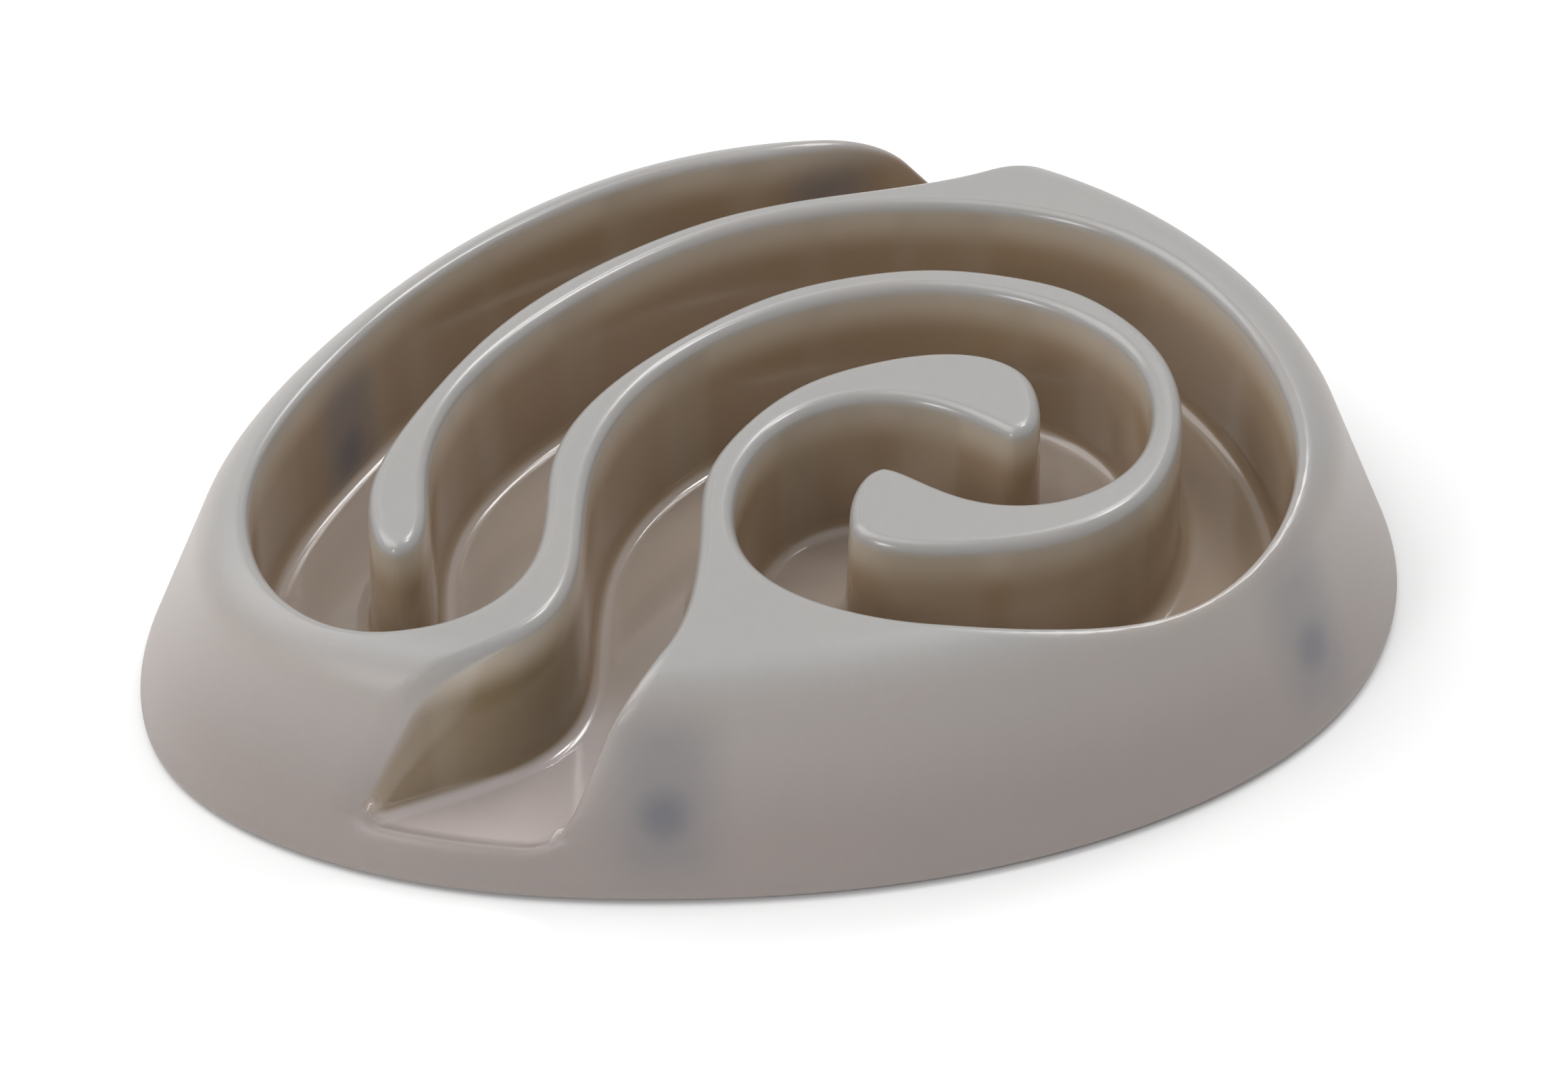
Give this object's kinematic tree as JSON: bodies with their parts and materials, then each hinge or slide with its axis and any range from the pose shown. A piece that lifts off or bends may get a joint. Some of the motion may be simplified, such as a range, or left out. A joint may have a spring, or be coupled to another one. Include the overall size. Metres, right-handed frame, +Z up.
{
  "type": "dog maze feeder",
  "caption": "Low moulded plastic feeder whose top is one deep groove winding from a notch in the front to a notch in the back, so a dog eats slowly; it stands on rubber feet.",
  "frame": {"origin": "on the ground under the middle of the outline", "axes": "+X to the right along the length, +Y to the back, +Z up"},
  "size_m": [0.3749, 0.323, 0.062],
  "materials": {
    "shell_plastic": "satin outside, glossier in the groove, slightly translucent",
    "foot_rubber": "matte"
  },
  "bodies": {
    "root": {"maze_shell": "shell_plastic", "rubber_foot_front": "foot_rubber", "rubber_foot_right": "foot_rubber", "rubber_foot_left": "foot_rubber", "rubber_foot_back": "foot_rubber"}
  },
  "joints": []
}
